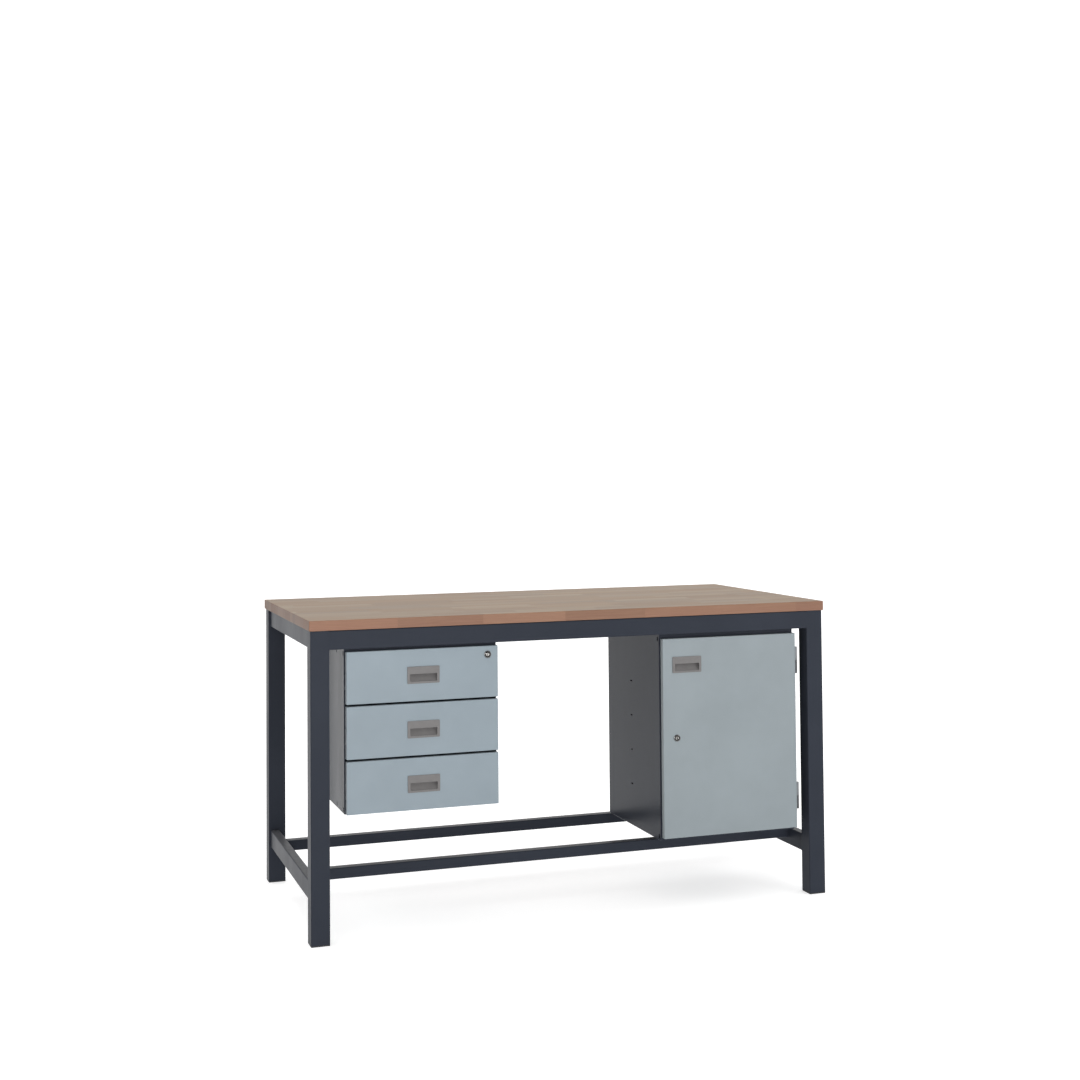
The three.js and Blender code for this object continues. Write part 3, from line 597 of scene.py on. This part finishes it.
def make_frame():
    for name in sorted(NODES):
        if name.startswith(("leg_", "top_rail_", "low_rail_", "stretcher_", "hanger_")):
            tube_for(name)
    inset = WELD_INSET
    for end, y_sign in (("front", -1), ("rear", 1)):
        for side, x_sign in (("left", -1), ("right", 1)):
            corner = f"{end}_{side}"
            leg_low, leg_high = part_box("leg_" + corner)
            leg_y = leg_high[1] if y_sign < 0 else leg_low[1]
            leg_x = leg_high[0] if x_sign < 0 else leg_low[0]
            for rail in ("top_rail_", "low_rail_"):
                low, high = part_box(rail + side)
                for x, out in ((low[0], -1), (high[0], 1)):
                    weld_bead(
                        f"weld_{rail}{corner}_{'outer' if out == x_sign else 'inner'}",
                        (x, leg_y, low[2] + inset), (x, leg_y, high[2] - inset), (out, -y_sign, 0),
                    )
                weld_bead(
                    f"weld_{rail}{corner}_under",
                    (low[0] + inset, leg_y, low[2]), (high[0] - inset, leg_y, low[2]), (0, -y_sign, -1),
                )
            low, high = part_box("top_rail_" + end)
            ground_weld(f"weld_long_{corner}_flush", leg_x, low, high, y_sign)
            weld_bead(
                f"weld_long_{corner}_under",
                (leg_x, low[1] + inset, low[2]), (leg_x, high[1] - inset, low[2]), (-x_sign, 0, -1),
            )
        low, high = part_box("stretcher_" + end)
        for side, x_sign, x in (("left", -1, low[0]), ("right", 1, high[0])):
            for face, y, out in (("front", low[1], -1), ("rear", high[1], 1)):
                weld_bead(
                    f"weld_stretcher_{end}_{side}_{face}",
                    (x, y, low[2] + inset), (x, y, high[2] - inset), (-x_sign, out, 0),
                )
            weld_bead(
                f"weld_stretcher_{end}_{side}_under",
                (x, low[1] + inset, low[2]), (x, high[1] - inset, low[2]), (-x_sign, 0, -1),
            )


def make_worktop():
    low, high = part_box("worktop")
    stand_for(box_mesh("worktop_slab", low, high, WORKTOP_EDGE, 4), "worktop")


# ---------------------------------------------------------------------------
# Fronts, carcasses and drawer boxes
# ---------------------------------------------------------------------------

def folded_shell(name, low, high, open_side, radius=FOLD_RADIUS):
    """Folded sheet: a box with round folds and one open side, given as (axis, sign)."""
    axis, sign = open_side
    bm = bmesh.new()
    bmesh.ops.create_cube(bm, size=1.0)
    low, high = Vector(low), Vector(high)
    for vert in bm.verts:
        vert.co = Vector((low[i] + high[i]) / 2 + vert.co[i] * (high[i] - low[i]) for i in range(3))
    mouth = [face for face in bm.faces if abs(face.normal[axis] - sign) < 0.01]
    rim = {edge for face in mouth for edge in face.edges}
    bmesh.ops.bevel(
        bm, geom=[edge for edge in bm.edges if edge not in rim], offset=radius, segments=ROUND_STEPS,
        profile=0.5, affect="EDGES",
    )
    open_faces = [face for face in bm.faces if face.normal[axis] * sign > 0.99]
    bmesh.ops.delete(bm, geom=open_faces, context="FACES_ONLY")
    shell = from_bmesh(name, bm)
    if (shell.data.polygons[0].center - (low + high) / 2).dot(shell.data.polygons[0].normal) < 0:
        shell.data.flip_normals()
    modifier = shell.modifiers.new("sheet", "SOLIDIFY")
    modifier.thickness = SHEET
    modifier.offset = -1.0
    apply_modifiers(shell)
    return shell


def through_hole(centre, width, height, corner, y_low, y_high):
    return box_mesh(
        "hole",
        (centre[0] - width / 2, y_low, centre[2] - height / 2),
        (centre[0] + width / 2, y_high, centre[2] + height / 2),
        corner, 4, "Y",
    )


def make_front(node_name, pull_node, lock_node=None):
    """A drawer front or the door, with its cutouts for the pull and the lock."""
    low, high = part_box(node_name)
    panel = folded_shell(node_name + "_pan", low, high, (1, 1))
    pull_low, pull_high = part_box(pull_node)
    pull_hole = through_hole(
        centre_of(pull_node),
        pull_high[0] - pull_low[0] - 8 * MM, pull_high[2] - pull_low[2] - 7 * MM, 1.5 * MM,
        low[1] - 2 * MM, low[1] + 2 * SHEET,
    )
    cutters = [pull_hole]
    if lock_node:
        lock_centre = centre_of(lock_node)
        lock_centre.y = low[1]
        cutters.append(cylinder_mesh("hole", lock_centre, (0, 1, 0), LOCK_HOLE_RADIUS, 4 * SHEET))
    combine(panel, cutters, "DIFFERENCE")
    return stand_for(panel, node_name)


def sloped_hollow(name, low, high):
    """The hollow of a finger pull: a box whose back wall slopes down and out to the window's sill."""
    slope_top = low.z + (high.z - low.z) * PULL_SLOPE_SHARE
    outline = [(low.y, high.z), (low.y, low.z), (high.y, slope_top), (high.y, high.z)]
    bm = bmesh.new()
    left, right = ([bm.verts.new((x, y, z)) for y, z in outline] for x in (low.x, high.x))
    bm.faces.new(left)
    bm.faces.new(reversed(right))
    for i in range(len(outline)):
        bm.faces.new((left[i - 1], left[i], right[i], right[i - 1]))
    return from_bmesh(name, bm)


def make_pull(node_name):
    """The recessed finger pull: a soft-edged rim, a closed upper flap and a cup behind it."""
    low, high = (Vector(corner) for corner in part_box(node_name))
    middle = (low + high) / 2
    half_width, half_height = PULL_CUP_HALF
    cup_low = Vector((middle.x - half_width, low.y + 0.4 * MM, middle.z - half_height))
    cup_high = Vector((middle.x + half_width, high.y, middle.z + half_height))
    pull = box_mesh(node_name + "_rim", low, (high.x, low.y + PULL_RIM, high.z), 2.5 * MM, 5, "Y")
    combine(pull, [box_mesh("cup", cup_low, cup_high, 1.2 * MM, 3, "Y")], "UNION")
    wall = PULL_CUP_WALL
    hollow_low = Vector((cup_low.x + wall, low.y + PULL_HOLLOW_START, cup_low.z + wall))
    cavity = sloped_hollow("cavity", hollow_low, cup_high - Vector((wall, wall, wall)))
    window_back = hollow_low.y + 0.4 * MM
    window = box_mesh(
        "window",
        (middle.x - PULL_WINDOW_HALF_WIDTH, low.y - 2 * MM, middle.z + PULL_WINDOW_BOTTOM),
        (middle.x + PULL_WINDOW_HALF_WIDTH, window_back, middle.z + PULL_WINDOW_TOP), 1.0 * MM, 3, "Y",
    )
    combine(pull, [cavity, window], "DIFFERENCE")
    soften(pull, 0.5 * MM, 2)
    return stand_for(pull, node_name)


def make_carcass(node_name, side_return, holes):
    low, high = (Vector(corner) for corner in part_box(node_name))
    shell = folded_shell(node_name + "_shell", low, high, (1, -1))
    lip = box_mesh(node_name + "_lip", low, (high.x, low.y + SHEET, high.z), FOLD_RADIUS, ROUND_STEPS, "Y")
    mouth = box_mesh(
        "mouth",
        (low.x + side_return, low.y - OVERCUT, low.z + FOOT_RETURN),
        (high.x - side_return, low.y + 2 * OVERCUT, high.z - HEAD_RETURN), 2 * MM, 3, "Y",
    )
    combine(shell, [lip], "UNION")
    combine(shell, [mouth] + holes, "DIFFERENCE")
    return stand_for(shell, node_name)


def slots_at(node_name, slot, setback, heights):
    """Cutters for slots of one kind through both sides of a carcass, one at each height."""
    low, high = (Vector(corner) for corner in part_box(node_name))
    y = low.y + setback
    half_length = slot["length"] / 2
    half_height = slot["height"] / 2
    return [
        box_mesh(
            "slot",
            (low.x - OVERCUT, y - half_length, z - half_height),
            (high.x + OVERCUT, y + half_length, z + half_height), slot["corner"], 4, "X",
        )
        for z in heights
    ]


def side_slots(node_name, setback):
    """Cutters for the upright slots near the top and the bottom of a carcass."""
    low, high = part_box(node_name)
    heights = (low[2] + SIDE_SLOT_FROM_BOTTOM, high[2] - SIDE_SLOT_FROM_TOP)
    return slots_at(node_name, SIDE_SLOT, setback, heights)


def make_drawer_unit():
    slots = side_slots("drawer_carcass", FRONT_SLOT_SETBACK)
    slots += side_slots("drawer_carcass", SECOND_SLOT_SETBACK)
    make_carcass("drawer_carcass", DRAWER_SIDE_RETURN, slots)
    for level in DRAWERS:
        lock_node = "drawer_lock_barrel" if level == "top" else None
        make_front(f"drawer_{level}_front", f"drawer_{level}_pull", lock_node)
        make_pull(f"drawer_{level}_pull")
        node_name = f"drawer_{level}_box"
        box_low, box_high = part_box(node_name)
        tray = folded_shell(node_name + "_tray", box_low, box_high, (2, 1), DRAWER_BOX_FOLD)
        stand_for(tray, node_name)


def make_cupboard():
    slots = slots_at("cupboard_carcass", SHELF_SLOT, SHELF_SLOT_SETBACK, SHELF_SLOT_HEIGHTS)
    slots += side_slots("cupboard_carcass", FRONT_SLOT_SETBACK)
    make_carcass("cupboard_carcass", CUPBOARD_SIDE_RETURN, slots)
    make_front("door_panel", "door_pull", "door_lock_barrel")
    make_pull("door_pull")


# ---------------------------------------------------------------------------
# Locks and hinges
# ---------------------------------------------------------------------------

def make_barrel(node_name, name, axis):
    """The lock's barrel: a turned bezel round a recess, and a body that takes the plug."""
    low, high = (Vector(corner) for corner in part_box(node_name))
    front, back = low.y, high.y
    rim = (high.x - low.x) / 2
    profile = [
        (front + BARREL_RECESS, BARREL_RECESS_RADIUS),
        (front + 0.4 * MM, BARREL_RECESS_RADIUS),
        (front, 7.7 * MM),
        (front, 8.8 * MM),
        (front + 0.3 * MM, 9.4 * MM),
        (front + 0.9 * MM, rim - 0.15 * MM),
        (front + 2.0 * MM, rim),
        (front + 2.0 * MM, BARREL_RADIUS),
        (back, BARREL_RADIUS),
        (back, BARREL_BORE_RADIUS),
        (front + BARREL_RECESS, BARREL_BORE_RADIUS),
    ]
    stand_for(lathe_mesh(name, axis, profile), node_name)


def make_plug(node_name, name, axis):
    """The lock's plug: a slightly dished face with a keyway, and a thinner tail for the cam."""
    low, high = (Vector(corner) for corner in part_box(node_name))
    front, back = low.y, high.y
    shoulder = back - PLUG_TAIL_LENGTH
    profile = [
        (front + 0.25 * MM, 0.0),
        (front + 0.25 * MM, 3.9 * MM),
        (front, 4.3 * MM),
        (front + 0.05 * MM, 4.7 * MM),
        (front + 0.6 * MM, 5.2 * MM),
        (front + 4.0 * MM, 5.4 * MM),
        (shoulder, PLUG_RADIUS),
        (shoulder, PLUG_TAIL_RADIUS),
        (back, PLUG_TAIL_RADIUS),
        (back, 0.0),
    ]
    plug = lathe_mesh(name, axis, profile)
    half_width, half_height = KEYWAY_HALF
    keyway = box_mesh(
        "keyway",
        axis + Vector((-half_width, front - 1 * MM, -half_height)),
        axis + Vector((half_width, front + KEYWAY_DEPTH, half_height)), 0.3 * MM, 2, "Y",
    )
    throat = box_mesh(
        "throat",
        axis + Vector((-2.6 * MM, front - 1 * MM, -1.5 * MM)),
        axis + Vector((0.2 * MM, front + KEYWAY_DEPTH, 1.5 * MM)), 0.3 * MM, 2, "Y",
    )
    combine(plug, [keyway, throat], "DIFFERENCE")
    stand_for(plug, node_name, PLUG_STEEL)


def make_lock(prefix):
    axis = centre_of(prefix + "_barrel")
    axis.y = 0.0
    make_barrel(prefix + "_barrel", prefix + "_body", axis)
    make_plug(prefix + "_plug", prefix + "_core", axis)


def make_hinge(level):
    """Two turned barrels with soft ends; the strap and the leaf lie flat on the steel. The lower half
    has the pin, and the door's half drops onto it."""
    door_low, door_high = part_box(f"hinge_{level}_door_half")
    pin = Vector(((door_low[0] + door_high[0]) / 2, (door_low[1] + door_high[1]) / 2, 0.0))
    radius = (door_high[0] - door_low[0]) / 2
    up = Vector((0, 0, 1))
    for half in ("frame", "door"):
        node_name = f"hinge_{level}_{half}_half"
        low, high = (Vector(corner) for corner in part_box(node_name))
        top = door_high[2] if half == "door" else door_low[2] - HINGE_GAP
        bottom = door_low[2] if half == "door" else low.z
        middle = pin + up * (top + bottom) / 2
        barrel = cylinder_mesh(node_name + "_knuckle", middle, up, radius, top - bottom)
        leaf_low = Vector((low.x, pin.y if half == "frame" else low.y, bottom))
        leaf_high = Vector((low.x + HINGE_LEAF, high.y, top))
        combine(barrel, [box_mesh("leaf", leaf_low, leaf_high)], "UNION")
        if half == "frame":
            rod = cylinder_mesh("rod", pin + up * (top + 10 * MM), up, HINGE_PIN_RADIUS, 40 * MM, 24)
            combine(barrel, [rod], "UNION")
        else:
            bore = cylinder_mesh("bore", pin + up * (bottom + 16 * MM), up, HINGE_BORE_RADIUS, 36 * MM, 24)
            combine(barrel, [bore], "DIFFERENCE")
        soften(barrel, 0.4 * MM, 2, 50.0)
        stand_for(barrel, node_name, HINGE_LOOKS[half])


# ---------------------------------------------------------------------------
# Studio
# ---------------------------------------------------------------------------

def make_floor():
    bm = bmesh.new()
    bmesh.ops.create_grid(bm, x_segments=1, y_segments=1, size=FLOOR_HALF_SIZE)
    floor = from_bmesh("floor", bm)
    floor.data.materials.append(pale_floor())


def make_world():
    """Light that rises towards the bright side. The camera itself sees plain white all round."""
    world = bpy.data.worlds.new("studio")
    bpy.context.scene.world = world
    world.use_nodes = True
    tree = world.node_tree
    light = tree.nodes["Background"]
    light.inputs["Color"].default_value = rgb(1.0, 1.0, 1.0)

    slope = tree.nodes.new("ShaderNodeVectorMath")
    slope.operation = "DOT_PRODUCT"
    slope.inputs[1].default_value = Vector(BRIGHT_SIDE).normalized()
    tree.links.new(tree.nodes.new("ShaderNodeTexCoord").outputs["Generated"], slope.inputs[0])
    spread = tree.nodes.new("ShaderNodeMapRange")
    for index, value in enumerate((*WORLD_SLOPE, WORLD_DARKEST, WORLD_BRIGHTEST), start=1):
        spread.inputs[index].default_value = value
    tree.links.new(slope.outputs["Value"], spread.inputs["Value"])

    seen = tree.nodes.new("ShaderNodeMath")
    seen.operation = "MULTIPLY"
    seen.inputs[1].default_value = WORLD_BRIGHTEST
    tree.links.new(tree.nodes.new("ShaderNodeLightPath").outputs["Is Camera Ray"], seen.inputs[0])
    brighter = tree.nodes.new("ShaderNodeMath")
    brighter.operation = "MAXIMUM"
    tree.links.new(spread.outputs[0], brighter.inputs[0])
    tree.links.new(seen.outputs[0], brighter.inputs[1])
    tree.links.new(brighter.outputs[0], light.inputs["Strength"])


def make_lamps():
    for name, place, size, power in SOFT_BOXES:
        lamp = bpy.data.lights.new(name, "AREA")
        lamp.size = size
        lamp.energy = power
        obj = new_object(name, lamp)
        obj.location = place
        obj.rotation_euler = (Vector(LAMP_TARGET) - Vector(place)).to_track_quat("-Z", "Y").to_euler()
    overhead = bpy.data.lights.new("overhead", "SUN")
    overhead.energy = OVERHEAD_STRENGTH
    overhead.angle = math.radians(OVERHEAD_SPREAD)
    new_object("overhead", overhead)


def make_camera():
    data = bpy.data.cameras.new("camera")
    data.sensor_width = 36.0
    data.lens = CAMERA_LENS
    data.shift_x, data.shift_y = CAMERA_SHIFT
    camera = new_object("camera", data)
    turn = (
        Matrix.Rotation(math.radians(-CAMERA_YAW), 4, "Z")
        @ Matrix.Rotation(math.radians(90.0 + CAMERA_PITCH), 4, "X")
        @ Matrix.Rotation(math.radians(CAMERA_ROLL), 4, "Z")
    )
    camera.matrix_world = Matrix.Translation(CAMERA_PLACE) @ turn
    bpy.context.scene.camera = camera
    bpy.context.scene.view_settings.view_transform = "Standard"


make_frame()
make_worktop()
make_drawer_unit()
make_cupboard()
make_lock("drawer_lock")
make_lock("door_lock")
make_hinge("upper")
make_hinge("lower")
make_floor()
make_world()
make_lamps()
make_camera()
